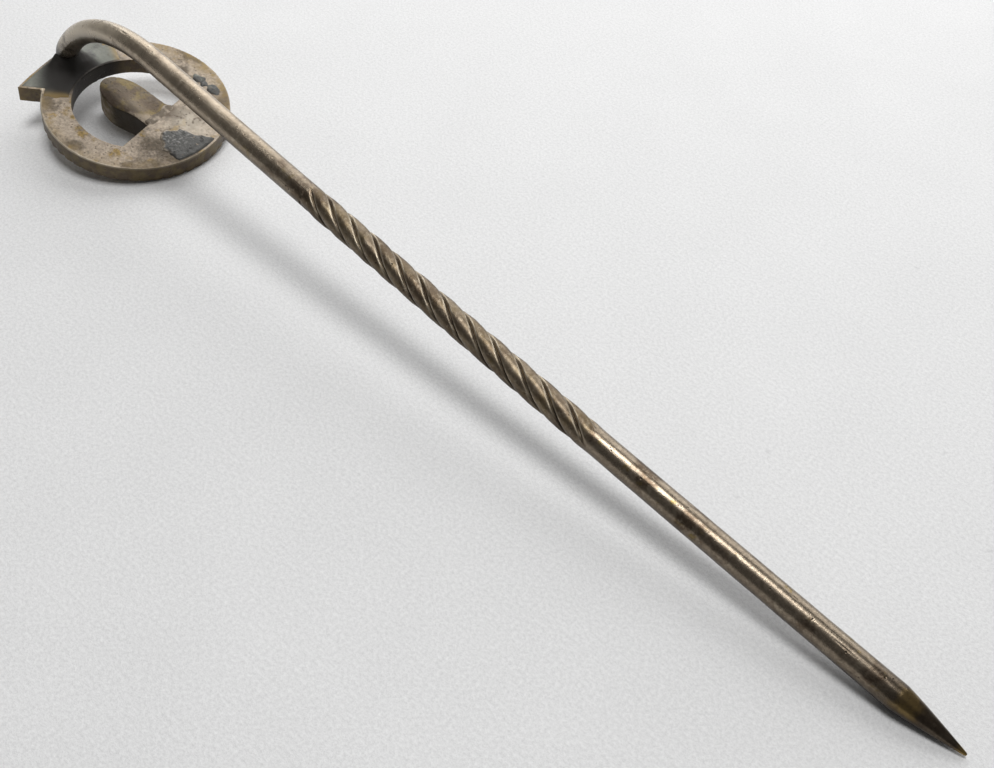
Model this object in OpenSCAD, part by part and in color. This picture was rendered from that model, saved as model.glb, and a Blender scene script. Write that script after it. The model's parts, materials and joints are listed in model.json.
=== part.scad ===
// Stick pin for a tie or a lapel: a silver pin wire soldered to the back of a
// flat ring-shaped head.  Millimetres, +Z up.  The pin lies as it comes to rest
// on a table, head face down, touching on the rim of the head and on the wire
// near its point.  The point looks along +X, and the origin is under the middle.

/* [Pin wire] */
// Diameter of the plain wire
wire_d = 1.2; // [0.9:0.05:1.5]
// Angle of the foot, measured from the wire's own run towards the point
foot_angle = 112; // [95:1:120]
// Radius of the tight bend just above the foot, to the middle of the wire
tight_r = 1.2; // [0.9:0.05:2]
// Angle of the wire where the tight bend opens into the long one
opening_angle = 62; // [50:1:75]
// Radius of the long bend, to the middle of the wire
long_r = 9.1; // [6:0.1:11]
// Angle at which the straight wire runs away from the head
rise_angle = 2.2; // [0:0.1:4]
// Length of the plain neck between the bend and the twist
neck_len = 12; // [6:0.5:16]
// Length of the twisted stretch
twist_len = 18.2; // [10:0.2:24]
// Length of the plain shank that takes a guard
shank_len = 15.5; // [8:0.5:22]
// Length of the sharpened point
point_len = 3.1; // [2:0.1:5]
// Radius of the blunted tip
tip_r = 0.06; // [0.03:0.01:0.15]
// Fullness of the point: 1 for a straight cone, more for a swelling one
point_curve = 1.15; // [1:0.05:1.6]

/* [Twist] */
// Number of grooves round the wire
grooves = 4; // [3:1:6]
// Number of full turns
turns = 3; // [1:0.25:4]
// Radius over the lobes
lobe_r = 0.64; // [0.6:0.01:0.75]
// How far a lobe falls from its crest to its sides
lobe_fall = 0.07; // [0:0.01:0.1]
// Depth of the V between two lobes
groove_depth = 0.12; // [0.05:0.01:0.2]
// Half the angle that a V takes up
v_half = 10; // [8:1:20]

/* [Head] */
// Radius of the ring
ring_r = 5.05; // [4:0.05:7]
// Radius of the hole in the ring
hole_r = 3.45; // [2.8:0.05:3.6]
// Thickness of the ring
ring_t = 0.95; // [0.8:0.05:1.3]
// Distance from the ring's middle to the straight edge of its filled side
chord_dist = 1.55; // [1.2:0.05:2]
// Angle between the head's axis and the wire, seen from the back
head_turn = 14; // [0:1:20]
// Distance from the foot to the ring's middle, along the wire
head_x = 4.65; // [4:0.05:5.5]
// Distance from the wire's line to the ring's middle, sideways
head_y = 1.05; // [0:0.05:1.5]

/* [Lug] */
// Half width of the flared lug at its outer edge
lug_half = 3.2; // [2:0.1:3.6]
// Half width of the lug where it leaves the ring
lug_neck = 2.6; // [1.5:0.1:3]
// Distance from the ring's middle to the lug's outer corners
lug_corner = 5.45; // [5.2:0.05:6]
// Distance from the ring's middle to the crest of the lug's outer edge
lug_crest = 5.7; // [5.5:0.05:6.4]
// Length of the part of the lug that flares out
lug_flare = 0.95; // [0.5:0.05:1.2]

/* [Leaf] */
// Half width of the leaf at its widest
leaf_half = 1.1; // [0.8:0.05:1.4]
// Half width of the leaf's narrow side at its root
leaf_root = 0.8; // [0.6:0.05:1.2]
// Distance from the ring's middle to the leaf's widest place
leaf_swell = 0.6; // [0:0.1:1.2]
// Distance from the ring's middle to the leaf's rounded end
leaf_reach = 2.6; // [2:0.1:3]
// Thickness of the leaf
leaf_t = 1.5; // [0.9:0.05:1.5]
// Angle between the leaf and the wire, seen from the back
leaf_turn = 6; // [0:1:14]

/* [Solder] */
// Thickness of the solder that has flooded the back of the head
flood_t = 0.08; // [0.05:0.01:0.15]
// Angle to which the solder has run, each way from the head's axis
flood_half = 36; // [24:1:45]
// Height of the fillet round the foot
fillet_h = 0.45; // [0.2:0.05:0.6]
// Height of the bead along the leaf's root
bead_h = 0.08; // [0.05:0.01:0.12]
// Thickness of the crusted patch of old solder
patch_t = 0.12; // [0.08:0.01:0.2]
// Height of the two stray spots of solder
spot_h = 0.12; // [0.08:0.01:0.2]

/* [Hidden] */
$fn = 64;

wire_r = wire_d / 2;

// The wire's middle line lies in the XZ plane.  It leaves the foot at
// foot_angle, turns clockwise through both bends and runs straight on.
function along(a) = [cos(a), 0, sin(a)];
function right_of(a) = [sin(a), 0, -cos(a)];
tight_centre = tight_r * right_of(foot_angle);
opening = tight_centre - tight_r * right_of(opening_angle);
long_centre = opening + long_r * right_of(opening_angle);
bend_end = long_centre - long_r * right_of(rise_angle);
straight_len = neck_len + twist_len + shank_len + point_len;
tip = bend_end + straight_len * along(rise_angle);
taper_start = bend_end + (straight_len - point_len) * along(rise_angle);

head_mid = [head_x, head_y, 0];

// Attitude at rest.  The wire touches where its point begins and the ring
// touches on its front rim, so the pitch closes the triangle between them, and
// the lean is that of a ring whose middle lies to one side of the wire.
lean = asin(head_y / (taper_start.x - head_x));
touch_wire = leaned(taper_start - wire_r * [-sin(rise_angle), 0, cos(rise_angle)]);
touch_ring = leaned([head_x + ring_r, head_y / 2, -ring_t]);
pitch = atan((touch_wire.z - touch_ring.z) / (touch_wire.x - touch_ring.x));

// A point of the pin as made, turned to the attitude at rest.
function leaned(p) = [p.x, p.y * cos(lean) - p.z * sin(lean), p.y * sin(lean) + p.z * cos(lean)];
function pitched(p) = [p.x * cos(pitch) + p.z * sin(pitch), p.y, p.z * cos(pitch) - p.x * sin(pitch)];
function turned(p) = pitched(leaned(p));
function on_head(p, q, z) = head_mid
    + [-p * cos(head_turn) + q * sin(head_turn), -p * sin(head_turn) - q * cos(head_turn), z];

lug_corners = [for (side = [-1, 1], z = [0, -ring_t]) turned(on_head(lug_corner, side * lug_half, z))];
rim = [for (a = [0 : 1 : 359]) turned([head_x + ring_r * cos(a), head_y + ring_r * sin(a), -ring_t])];
rim_back = [for (a = [0 : 1 : 359]) turned([head_x + ring_r * cos(a), head_y + ring_r * sin(a), 0])];
x_low = min([for (p = lug_corners) p.x]);
x_high = turned(tip).x;
y_low = min([for (p = concat(rim, rim_back, lug_corners)) p.y]);
y_high = max([for (p = concat(rim, rim_back, lug_corners)) p.y]);
z_low = min(min([for (p = rim) p.z]), pitched(touch_wire).z);

module at_rest()
    translate([-(x_low + x_high) / 2, -(y_low + y_high) / 2, -z_low])
        rotate([lean, pitch, 0])
            children();

// Places a child drawn with its axis along +Z at a point of the straight wire.
module along_wire(distance)
    translate(bend_end + distance * along(rise_angle))
        rotate([0, 90 - rise_angle, 0])
            children();

// The bent and twisted wire is one skin swept through rings of points.  A
// station is [middle, angle of the wire, turn of the grooves, depth of the
// grooves from 0 to 1, size of the ring].
ring_points = 36;
tight_steps = 6;
long_steps = 12;
twist_steps = 16 * turns;
run_out = 0.9;
// The skin enters the end of the shank a little smaller than the shank itself.
seat_size = 0.96;
socket = 0.5;
function bent(centre, radius, a) = centre - radius * right_of(a);
function mix(from, to, t) = from + (to - from) * t;
function fade(x) = min(1, max(0, min(x, twist_len - x) / run_out));
stations = concat(
    [[[0, 0, 0], foot_angle, 0, 0, 1]],
    [for (i = [2 : tight_steps]) let (a = mix(foot_angle, opening_angle, i / tight_steps))
        [bent(tight_centre, tight_r, a), a, 0, 0, 1]],
    [for (i = [1 : long_steps]) let (a = mix(opening_angle, rise_angle, i / long_steps))
        [bent(long_centre, long_r, a), a, 0, 0, 1]],
    [for (i = [0 : twist_steps]) let (x = twist_len * i / twist_steps)
        [bend_end + (neck_len + x) * along(rise_angle), rise_angle, 360 * turns * i / twist_steps,
            fade(x), i == twist_steps ? seat_size : 1]],
    [[bend_end + (neck_len + twist_len + socket) * along(rise_angle), rise_angle, 360 * turns, 0, 0.8]]);

// Outline of the twisted wire: broad convex lobes with a narrow V between them.
lobe_angle = 360 / grooves;
function from_v(a) = lobe_angle / 2 - abs(a % lobe_angle - lobe_angle / 2);
function lobe_radius(a) = lobe_r
    - lobe_fall * pow(1 - from_v(a) / (lobe_angle / 2), 2)
    - groove_depth * max(0, 1 - from_v(a) / v_half);
function skin_point(st, j) = let (
    phi = 360 * j / ring_points,
    radius = st[4] * mix(wire_r, lobe_radius(360 + phi), st[3]),
    turn = phi + st[2],
    up = [-sin(st[1]), 0, cos(st[1])])
    st[0] + radius * (cos(turn) * up - sin(turn) * [0, 1, 0]);

// The foot is cut off flat where it meets the back of the head.
function flattened(p) = p - p.z / along(foot_angle).z * along(foot_angle);
skin = [for (i = [0 : len(stations) - 1], j = [0 : ring_points - 1])
    i == 0 ? flattened(skin_point(stations[i], j)) : skin_point(stations[i], j)];
last_ring = (len(stations) - 1) * ring_points;
skin_faces = concat(
    [[for (j = [0 : ring_points - 1]) j]],
    [for (i = [0 : len(stations) - 2], j = [0 : ring_points - 1], half = [0, 1])
        let (here = i * ring_points, next = here + ring_points, k = (j + 1) % ring_points)
        half == 0 ? [here + j, next + k, here + k] : [here + j, next + j, next + k]],
    [[for (j = [ring_points - 1 : -1 : 0]) last_ring + j]]);

// The shank and its point are turned in one piece.
point_steps = 6;
function point_radius(t) = tip_r + (wire_r - tip_r) * (1 - pow(t, point_curve));
module shank()
    rotate_extrude()
        polygon(concat([[0, 0], [wire_r, 0]],
            [for (i = [0 : point_steps])
                [point_radius(i / point_steps), shank_len + i / point_steps * point_len]],
            [[0, shank_len + point_len]]));

module pin_wire() color("#8f8371") at_rest() {
    polyhedron(skin, skin_faces, convexity = 6);
    along_wire(neck_len + twist_len) shank();
}

// Draws in the head's own plane, with +Y from the ring's middle to the lug.
module head_plane() translate(head_mid) rotate([0, 0, 90 + head_turn]) children();

// The lug starts inside the ring, clear of the hole's wall by this much.
lug_inset = 0.15;
lug_base = hole_r + lug_inset;
lug_shoulder = lug_corner - lug_flare;
lug_rise = (lug_corner + 2 * lug_crest) / 3;
module lug_outline()
    polygon([[-lug_neck, lug_base], [-lug_neck, lug_shoulder], [-lug_half, lug_corner],
        [-lug_half / 2, lug_rise], [0, lug_crest], [lug_half / 2, lug_rise],
        [lug_half, lug_corner], [lug_neck, lug_shoulder], [lug_neck, lug_base]]);

module ring_plate() color("#9b8b78") at_rest() head_plane() translate([0, 0, -ring_t]) {
    difference() {
        cylinder(r = ring_r, h = ring_t);
        difference() {
            translate([0, 0, -ring_t]) cylinder(r = hole_r, h = 3 * ring_t);
            translate([-ring_r, -ring_r - chord_dist, -2 * ring_t]) cube([2 * ring_r, ring_r, 5 * ring_t]);
        }
    }
    linear_extrude(ring_t) lug_outline();
}

// Draws in the head's plane with +X along the leaf, from its root to its end.
module leaf_plane() translate(head_mid) rotate([0, 0, 180 + leaf_turn]) children();

// The leaf ends in half an ellipse.  Its narrow side runs straight to the root,
// and its other side opens out where it meets the straight edge of the ring.
narrow_side = [[-0.3, 0.92], [-chord_dist / 2, leaf_root], [-2 * chord_dist, leaf_root]];
wide_side = [[-2 * chord_dist, -1.7], [-1.5, -1.65], [-1.45, -1.4], [-1.3, -1.2], [-1, -leaf_half]];
module leaf_outline()
    difference() {
        polygon(concat(
            [for (t = [-90 : 9 : 90])
                [leaf_swell + (leaf_reach - leaf_swell) * cos(t), leaf_half * sin(t)]],
            narrow_side, wide_side));
        rotate([0, 0, head_turn - leaf_turn]) translate([-ring_r - chord_dist, -ring_r])
            square([ring_r, 2 * ring_r]);
    }

module leaf() color("#6f6450") at_rest() leaf_plane()
    translate([0, 0, -leaf_t]) linear_extrude(leaf_t) leaf_outline();

// The fillet round the foot and the sheet that has run over the ring and lug.
// Solder keeps this far inside the edges of the metal that it lies on.
margin = 0.1;
lug_cover = 0.6;
module flood_outline()
    intersection() {
        union() {
            difference() {
                circle(r = ring_r - margin);
                circle(r = hole_r + margin);
            }
            intersection() {
                translate([0, -margin]) lug_outline();
                translate([-ring_r, hole_r + lug_cover]) square([2 * ring_r, ring_r]);
            }
        }
        polygon([[0, 0], 2 * ring_r * [-sin(flood_half), cos(flood_half)],
            2 * ring_r * [sin(flood_half), cos(flood_half)]]);
    }

fillet_foot = 2.1 * wire_r;
fillet_top = 1.15 * wire_r;
module foot_solder() color("#6d7276") at_rest() difference() {
    union() {
        head_plane() linear_extrude(flood_t) flood_outline();
        cylinder(r1 = fillet_foot, r2 = fillet_top, h = fillet_h);
    }
    rotate([0, 90 - foot_angle, 0]) translate([0, 0, -wire_d]) cylinder(r = wire_r, h = 2 * wire_d);
}

// A low bead along the joint between the leaf and the straight edge.
bead_r = 0.45;
module leaf_solder() color("#7a7260") at_rest() intersection() {
    translate(head_mid) rotate([0, 0, head_turn]) translate([chord_dist, 0, bead_h - bead_r])
        rotate([90, 0, 0]) cylinder(r = bead_r, h = 2 * leaf_root, center = true);
    translate([head_x - ring_r, head_y - ring_r, 0]) cube([2 * ring_r, 2 * ring_r, ring_t]);
}

// The crusted patch lies on the filled side, out to the ring's edge.
module solder_patch() color("#55585d") at_rest() translate(head_mid) linear_extrude(patch_t)
    intersection() {
        circle(r = ring_r - margin);
        polygon([[2.6, -0.4], [2.65, 0], [2.95, 0.35], [2.9, 0.6], [3.2, 0.8], [3.85, 1.05],
            [4.4, 1.6], [5.6, 1.8], [5.6, -0.8], [4.5, -0.95], [4, -1], [3.65, -1.15],
            [3.4, -0.85], [3, -0.75]]);
    }

// Low drops of solder on the bare side of the ring: [place, radius].
drops = [[[0.45, 3.95], 0.32], [[1.6, 4.05], 0.26]];
module solder_spots() color("#5c6166") at_rest()
    for (drop = drops)
        translate([head_x + drop[0].x, head_y + drop[0].y, 0])
            cylinder(r1 = drop[1], r2 = drop[1] / 2, h = spot_h);

pin_wire();
ring_plate();
leaf();
foot_solder();
leaf_solder();
solder_patch();
solder_spots();
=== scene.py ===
import json
import math
from types import SimpleNamespace

import bmesh
import bpy
import numpy as np
from bpy.props import FloatProperty, FloatVectorProperty, IntProperty, PointerProperty
from mathutils import Matrix, Vector, noise


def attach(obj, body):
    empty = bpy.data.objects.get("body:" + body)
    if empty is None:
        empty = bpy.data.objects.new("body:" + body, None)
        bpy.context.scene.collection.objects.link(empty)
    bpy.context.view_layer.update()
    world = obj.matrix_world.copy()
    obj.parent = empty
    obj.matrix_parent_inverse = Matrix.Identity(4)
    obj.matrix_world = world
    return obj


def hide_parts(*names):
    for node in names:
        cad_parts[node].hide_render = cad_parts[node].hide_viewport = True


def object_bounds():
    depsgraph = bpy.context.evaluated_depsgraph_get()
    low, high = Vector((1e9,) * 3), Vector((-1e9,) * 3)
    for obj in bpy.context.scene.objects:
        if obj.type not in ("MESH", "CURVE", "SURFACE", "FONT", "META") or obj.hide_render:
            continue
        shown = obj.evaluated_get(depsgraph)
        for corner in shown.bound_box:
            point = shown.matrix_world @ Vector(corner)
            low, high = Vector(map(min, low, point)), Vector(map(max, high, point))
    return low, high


bl_info = {
    "name": "Silver stick pin",
    "version": (1, 0, 0),
    "blender": (4, 5, 0),
    "location": "View3D > Sidebar > Stick pin",
    "description": "A hooked and twisted silver pin wire soldered to a flat ring head",
    "category": "Object",
}

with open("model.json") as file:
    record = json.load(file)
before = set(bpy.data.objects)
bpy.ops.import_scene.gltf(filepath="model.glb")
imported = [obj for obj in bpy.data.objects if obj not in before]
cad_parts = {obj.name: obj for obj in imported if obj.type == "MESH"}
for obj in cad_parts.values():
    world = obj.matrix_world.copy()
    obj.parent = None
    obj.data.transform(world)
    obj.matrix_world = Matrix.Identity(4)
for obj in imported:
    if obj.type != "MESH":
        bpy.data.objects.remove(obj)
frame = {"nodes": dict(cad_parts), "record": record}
CAD_LOW, CAD_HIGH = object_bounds()
SHANK = next(m for m in frame["record"]["mounts"] if m["name"] == "shank")
MM = 0.001


# ---------------------------------------------------------------- sizes

def length(name, description, millimetres):
    """A length, given in millimetres and kept in metres."""
    return FloatProperty(name=name, description=description, default=millimetres * MM,
                         min=0.0, unit="LENGTH", precision=5)


def angle(name, description, degrees):
    """An angle, given in degrees and kept in radians."""
    return FloatProperty(name=name, description=description, default=math.radians(degrees),
                         unit="ROTATION")


def colour(name, description, rgb):
    """A linear colour."""
    return FloatVectorProperty(name=name, description=description, default=(*rgb, 1.0), size=4,
                               min=0.0, max=1.0, subtype="COLOR")


class WireSizes(bpy.types.PropertyGroup):
    """Sizes of the bent pin wire."""
    radius: length("Radius", "Radius of the plain wire", SHANK["dims"]["r_mm"])
    foot_angle: angle("Foot angle", "Angle of the foot from the wire's run to the point", 112)
    opening_angle: angle("Opening angle", "Angle where the tight bend opens out", 62)
    rise_angle: angle("Rise", "Angle at which the straight wire leaves the head", 2.2)
    tight_radius: length("Tight bend", "Radius of the bend above the foot", 1.2)
    long_radius: length("Long bend", "Radius of the long open bend", 9.1)
    neck_length: length("Neck", "Plain stretch between bend and twist", 12)
    twist_length: length("Twist", "Length of the twisted stretch", 18.2)
    shank_length: length("Shank", "Plain stretch that takes a guard", SHANK["dims"]["length_mm"])
    point_length: length("Point", "Length of the sharpened point", 3.1)
    point_curve: FloatProperty(name="Point curve", default=1.15, min=1.0, max=2.0,
                               description="1 for a straight cone, more for a fuller point")
    tip_radius: length("Tip", "Radius of the blunted tip", 0.06)
    bow: length("Bow", "How far the straight wire is bowed sideways", 0.12)
    unevenness: length("Unevenness", "Height of the hammered unevenness", 0.007)


class TwistSizes(bpy.types.PropertyGroup):
    """Sizes of the grooves of the twisted stretch."""
    grooves: IntProperty(name="Grooves", description="Number of grooves round the wire",
                         default=4, min=3, max=6)
    turns: FloatProperty(name="Turns", description="Number of full turns", default=3.0)
    lobe_radius: length("Lobe radius", "Radius over the lobes", 0.64)
    lobe_fall: length("Lobe fall", "How much a lobe falls to its sides", 0.075)
    groove_depth: length("Groove depth", "Depth of the V between lobes", 0.12)
    groove_half: angle("Groove half width", "Half the angle that a V takes up", 9)
    run_out: length("Run out", "Length over which the grooves fade", 0.9)


class HeadSizes(bpy.types.PropertyGroup):
    """Sizes of the ring-shaped head."""
    ring_radius: length("Ring", "Outer radius of the ring", 5.05)
    hole_radius: length("Hole", "Radius of the hole", 3.45)
    thickness: length("Thickness", "Thickness of the ring", 0.95)
    chord: length("Straight edge", "Distance from the middle to the straight edge", 1.55)
    turn: angle("Turn", "Angle between the head's axis and the wire", 14)
    middle_x: length("Middle along", "Ring's middle from the foot, along the wire", 4.65)
    middle_y: length("Middle across", "Ring's middle from the wire's line, sideways", 1.05)
    lug_half: length("Lug half width", "Half width at the lug's corners", 3.2)
    lug_neck: length("Lug neck", "Half width where the lug leaves the ring", 2.6)
    lug_corner: length("Lug corner", "Distance from the middle to the lug's corners", 5.45)
    lug_crest: length("Lug crest", "Distance from the middle to the lug's crest", 5.7)
    lug_flare: length("Lug flare", "Length over which the lug widens to its corners", 0.95)
    seam: length("Seam", "How far the filled side and the lug run into the ring", 0.3)
    scallops: IntProperty(name="Scallops", description="Notches round the front rim",
                          default=50, min=12, max=90)
    scallop_depth: length("Scallop depth", "Depth of the notches in the front rim", 0.08)
    grain: length("Grain", "Size of the cells that the castings are carved in", 0.043)


class LeafSizes(bpy.types.PropertyGroup):
    """Sizes of the leaf that stands in the ring's opening."""
    half: length("Half width", "Half width at the widest", 1.12)
    root: length("Root half width", "Half width at the root", 0.9)
    swell: length("Swell", "Distance from the ring's middle to the widest place", 0.6)
    reach: length("Reach", "Distance from the ring's middle to the rounded end", 2.6)
    thickness: length("Thickness", "Thickness of the leaf", 1.5)
    turn: angle("Turn", "Angle between the leaf and the wire", 6)
    crown: length("Crown", "How far the leaf's back swells", 0.15)


class SolderSizes(bpy.types.PropertyGroup):
    """Sizes of the solder on the back of the head."""
    flood: length("Flood", "Thickness of the flooded sheet", 0.07)
    flood_half: angle("Flood half angle", "How far the solder has run round the ring", 36)
    fillet: length("Fillet", "Height of the fillet at the foot", 1.0)
    bead: length("Bead", "Height of the bead at the leaf's root", 0.03)
    crust: length("Crust", "Thickness of the crusted patch", 0.09)
    drop: length("Drop", "Height of the stray drops", 0.11)
    step: length("Step", "Size of the cells that the solder is laid in", 0.04)


class MetalColours(bpy.types.PropertyGroup):
    """Colours of the tarnished silver and the solder."""
    # Also laid over the hook and along the ring's rim as a painted highlight.
    bright: colour("Bright", "Worn silver", (0.62, 0.54, 0.42))
    warm: colour("Warm", "Warm grey tarnish", (0.24, 0.195, 0.145))
    # Also laid on the ring as the wire's painted shadow.
    brown: colour("Brown", "Brown tarnish", (0.105, 0.075, 0.05))
    olive: colour("Olive", "Olive tarnish", (0.19, 0.14, 0.055))
    umber: colour("Umber", "Dull brown of the cast surface", (0.135, 0.105, 0.072))
    # Also laid under the wire as painted shade.
    dark: colour("Dark", "Thick brown-black tarnish", (0.045, 0.032, 0.022))
    # Also laid round the foot and at the leaf's root as painted shade.
    black: colour("Black", "Black oxide in the hollows", (0.014, 0.011, 0.009))
    # Also laid on the leaf outside the wire's painted shadow.
    pink: colour("Pink", "Pinkish cast surface", (0.37, 0.305, 0.235))
    # Also laid as a painted highlight on the wire's neck and the leaf's back.
    sand: colour("Sand", "Pale rubbed cast surface", (0.52, 0.43, 0.325))
    # Laid on the ring's back as a painted reflection.
    cream: colour("Cream", "Bare pale patch on the cast surface", (0.53, 0.47, 0.385))
    gold: colour("Gold", "Yellow-brown bloom", (0.27, 0.185, 0.065))
    slate: colour("Slate", "Grey solder", (0.082, 0.080, 0.074))
    verdigris: colour("Verdigris", "Green-grey bloom on the solder", (0.19, 0.195, 0.165))
    ash: colour("Ash", "Pale grains in the crust", (0.33, 0.32, 0.30))


class StageLook(bpy.types.PropertyGroup):
    """The floor, the lights and the camera."""
    floor: colour("Floor", "Colour of the floor", (0.80, 0.80, 0.80))
    aim_x: length("Aim along", "Where the camera looks, along the pin", 5.219)
    aim_side: length("Aim aside", "How far beside the pin's middle line the camera looks", 1.339)
    aim_height: length("Aim height", "How far above the table the camera looks", 2.0)
    azimuth: angle("Azimuth", "Direction of the camera round the pin", 38.56)
    elevation: angle("Elevation", "Height of the camera above the horizon", 46.92)
    roll: angle("Roll", "Roll of the camera", 5.58)
    distance: length("Distance", "Distance of the camera from where it looks", 54.45)
    lens: FloatProperty(name="Lens", description="Focal length in millimetres", default=44.1,
                        unit="CAMERA")
    key_power: FloatProperty(name="Key light", description="Power of the large soft light",
                             default=0.345, unit="POWER")
    back_power: FloatProperty(name="Back light", description="Power of the light behind the pin",
                              default=0.30, unit="POWER")
    sky: FloatProperty(name="Sky", description="Strength of the even light around", default=0.10)


GROUPS = {
    "pin_wire_sizes": WireSizes,
    "pin_twist_sizes": TwistSizes,
    "pin_head_sizes": HeadSizes,
    "pin_leaf_sizes": LeafSizes,
    "pin_solder_sizes": SolderSizes,
    "pin_colours": MetalColours,
    "pin_stage": StageLook,
}


def on_bench(group):
    """The group's values with its lengths in millimetres, which is how pieces are made."""
    values = {}
    for name, prop in group.bl_rna.properties.items():
        if name in ("rna_type", "name"):
            continue
        value = getattr(group, name)
        values[name] = value / MM if prop.unit == "LENGTH" else value
    return SimpleNamespace(**values)


def sizes(name):
    """The current values of one group, for work on the bench."""
    return on_bench(getattr(bpy.context.scene, name))


# ---------------------------------------------------------------- the bench

def right_of(a):
    """To the right of a wire that runs at angle a in the plane of the hook."""
    return np.array([math.sin(a), 0.0, -math.cos(a)])


def forward(a):
    """Along a wire that runs at angle a in the plane of the hook."""
    return np.array([math.cos(a), 0.0, math.sin(a)])


def wire_turns(w):
    """Centres of the two bends, the end of the long one, and the length of each."""
    tight = w.tight_radius * right_of(w.foot_angle)
    opening = tight - w.tight_radius * right_of(w.opening_angle)
    long = opening + w.long_radius * right_of(w.opening_angle)
    end = long - w.long_radius * right_of(w.rise_angle)
    first = w.tight_radius * (w.foot_angle - w.opening_angle)
    second = w.long_radius * (w.opening_angle - w.rise_angle)
    return SimpleNamespace(tight=tight, long=long, end=end, first=first, second=second,
                           bend=first + second)


def wire_place(w, turns, s):
    """Middle of the wire and its angle at a distance s along it."""
    if s < turns.first:
        a = w.foot_angle - s / w.tight_radius
        return turns.tight - w.tight_radius * right_of(a), a
    if s < turns.bend:
        a = w.opening_angle - (s - turns.first) / w.long_radius
        return turns.long - w.long_radius * right_of(a), a
    return turns.end + (s - turns.bend) * forward(w.rise_angle), w.rise_angle


def head_normal():
    """The outward normal of the head's back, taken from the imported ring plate."""
    total = Vector()
    for face in frame["nodes"]["ring_plate"].data.polygons:
        if face.normal.z > 0.95:
            total += face.normal * face.area
    return total.normalized()


def bench_matrix():
    """Carries a piece from the bench, in millimetres, to its place on the resting pin.

    On the bench the foot is at the origin, the head's back faces up and the wire runs to +X.
    """
    w = sizes("pin_wire_sizes")
    up = head_normal()
    shank = Vector(SHANK["axis"]).normalized()
    along = (shank - up * shank.dot(up)).normalized()
    across = up.cross(along)
    turned = Matrix((along, across, up)).transposed()
    straight = w.neck_length + w.twist_length + w.shank_length / 2
    reach = wire_turns(w).end + straight * forward(w.rise_angle)
    foot = Vector(SHANK["pos_m"]) - turned @ Vector(reach) * MM
    return Matrix.Translation(foot) @ turned.to_4x4() @ Matrix.Scale(MM, 4)


def points_of(mesh):
    """The mesh's points, one row each."""
    places = np.empty(len(mesh.vertices) * 3)
    mesh.vertices.foreach_get("co", places)
    return places.reshape(-1, 3)


def normals_of(mesh):
    """The outward direction at each point of the mesh."""
    normals = np.empty(len(mesh.vertices) * 3)
    mesh.vertex_normals.foreach_get("vector", normals)
    return normals.reshape(-1, 3)


def move_points(mesh, places):
    mesh.vertices.foreach_set("co", places.ravel())
    mesh.update()


def mark_place(mesh, name, places):
    """Keeps one place for each point, in which the materials lay their textures."""
    layer = mesh.attributes.new(name, "FLOAT_VECTOR", "POINT")
    layer.data.foreach_set("vector", places.astype(np.float32).ravel())


def mark(mesh, name, values):
    """Keeps one number for each point, which the materials read as a mask."""
    layer = mesh.attributes.new(name, "FLOAT", "POINT")
    layer.data.foreach_set("value", np.clip(values, 0.0, 1.0).astype(np.float32))


def step_up(x, low, high):
    """Smooth rise from 0 at low to 1 at high."""
    t = np.clip((x - low) / (high - low), 0.0, 1.0)
    return t * t * (3 - 2 * t)


def rough_field(places, size, seed):
    """Smooth noise from -1 to 1 with features of the given size."""
    shift = Vector((seed * 17.3, seed * 5.7, seed * 11.1))
    return np.array([noise.noise(Vector(p) / size + shift) for p in places])


def dress(obj, material):
    """Gives the whole piece one material."""
    obj.data.materials.clear()
    obj.data.materials.append(material)


def place_piece(obj, node, material):
    """Puts a finished piece on the pin in its material, in place of the CAD node of its name."""
    dress(obj, material)
    obj.data.transform(bench_matrix())
    for face in obj.data.polygons:
        face.use_smooth = True
    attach(obj, "root")
    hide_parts(node)


def new_piece(name, places, faces):
    """An object with the given points and faces."""
    mesh = bpy.data.meshes.new(name)
    mesh.from_pydata([tuple(p) for p in places], [], faces)
    mesh.update()
    obj = bpy.data.objects.new(name, mesh)
    bpy.context.scene.collection.objects.link(obj)
    return obj


# ---------------------------------------------------------------- wire

# Nicks in the wire: distance from the foot, angle round it from the top,
# half length and half width, depth, all in millimetres and degrees.
NICKS = (
    (5.9, -18, 0.05, 0.34, 0.040),
    (8.6, 12, 0.16, 0.05, 0.020),
    (13.4, 30, 0.05, 0.22, 0.022),
    (17.2, -35, 0.30, 0.05, 0.018),
    (20.1, 20, 0.06, 0.18, 0.020),
    (42.8, 10, 0.05, 0.25, 0.022),
    (45.5, -28, 0.35, 0.04, 0.016),
    (48.3, 35, 0.05, 0.20, 0.020),
    (51.0, -5, 0.12, 0.06, 0.018),
    (53.6, 22, 0.40, 0.04, 0.015),
)
DEEP_NICK = 0.04
# Points in a ring of the wire, and the distances between rings on its stretches.
ROUND = 112
BEND_STEP, PLAIN_STEP, TWIST_STEP, POINT_RINGS = 0.09, 0.12, 0.06, 60


def wire_stations(w, turns):
    """Distances along the wire at which a ring of points is set."""
    total = turns.bend + w.neck_length + w.twist_length + w.shank_length + w.point_length
    twist_from = turns.bend + w.neck_length
    shank_from = twist_from + w.twist_length
    point_from = total - w.point_length
    parts = (
        np.arange(0.30, turns.bend, BEND_STEP),
        np.arange(turns.bend, twist_from, PLAIN_STEP),
        np.arange(twist_from, shank_from, TWIST_STEP),
        np.arange(shank_from, point_from, PLAIN_STEP),
        np.linspace(point_from, total - w.tip_radius, POINT_RINGS),
        total - w.tip_radius * (1 - np.sin(np.linspace(0.25, 1.45, 6))),
    )
    return np.concatenate(parts), total


def groove_shape(t, phi):
    """How far the outline falls below the lobe's crest, and where the V is, from 0 to 1."""
    lobe = 2 * math.pi / t.grooves
    side = lobe / 2 - np.abs(np.mod(phi, lobe) - lobe / 2)
    vee = np.clip(1 - side / t.groove_half, 0, 1)
    fall = t.lobe_fall * (1 - side / (lobe / 2)) ** 2 + t.groove_depth * vee ** 0.85
    shoulder = np.exp(-((side - 1.3 * t.groove_half) / (0.42 * t.groove_half)) ** 2)
    return fall, vee, shoulder


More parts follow.
